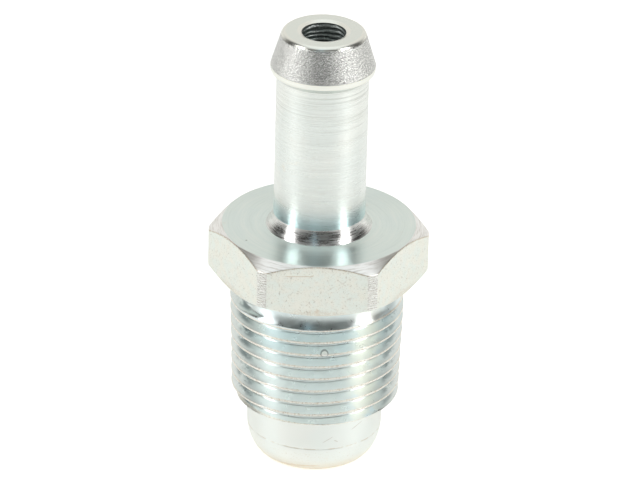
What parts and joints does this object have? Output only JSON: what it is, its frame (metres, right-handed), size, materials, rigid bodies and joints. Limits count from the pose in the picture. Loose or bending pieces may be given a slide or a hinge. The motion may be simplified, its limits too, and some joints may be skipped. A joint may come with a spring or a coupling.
{
  "type": "crankcase ventilation valve",
  "caption": "Crankcase ventilation valve with a barbed hose nipple, a hexagon, a taper pipe thread and a sprung metering plunger inside.",
  "frame": {"origin": "on the valve's axis, in the plane of the rolled rim that it stands on", "axes": "+Z along the axis from the threaded end to the hose nipple's tip, and +X through two opposite corners of the hexagon"},
  "size_m": [0.0214, 0.019, 0.0451],
  "materials": {
    "body_zinc": "bright zinc plating with a clear passivation, satin on the turned faces",
    "washer_steel": "plain steel, satin",
    "plunger_brass": "turned, satin",
    "spring_steel": "drawn wire, semi-gloss"
  },
  "bodies": {
    "body": {"valve_body": "body_zinc", "seat_washer": "washer_steel", "plunger_spring": "spring_steel"},
    "plunger": {"plunger": "plunger_brass"}
  },
  "joints": [
    {"name": "plunger_slide", "type": "slide", "parent": "body", "child": "plunger", "axis": [0, 0, 1], "range_m": [0, 0.006], "stiffness_N_per_m": 90, "springref_m": -0.0018, "deforming": ["plunger_spring"]}
  ]
}
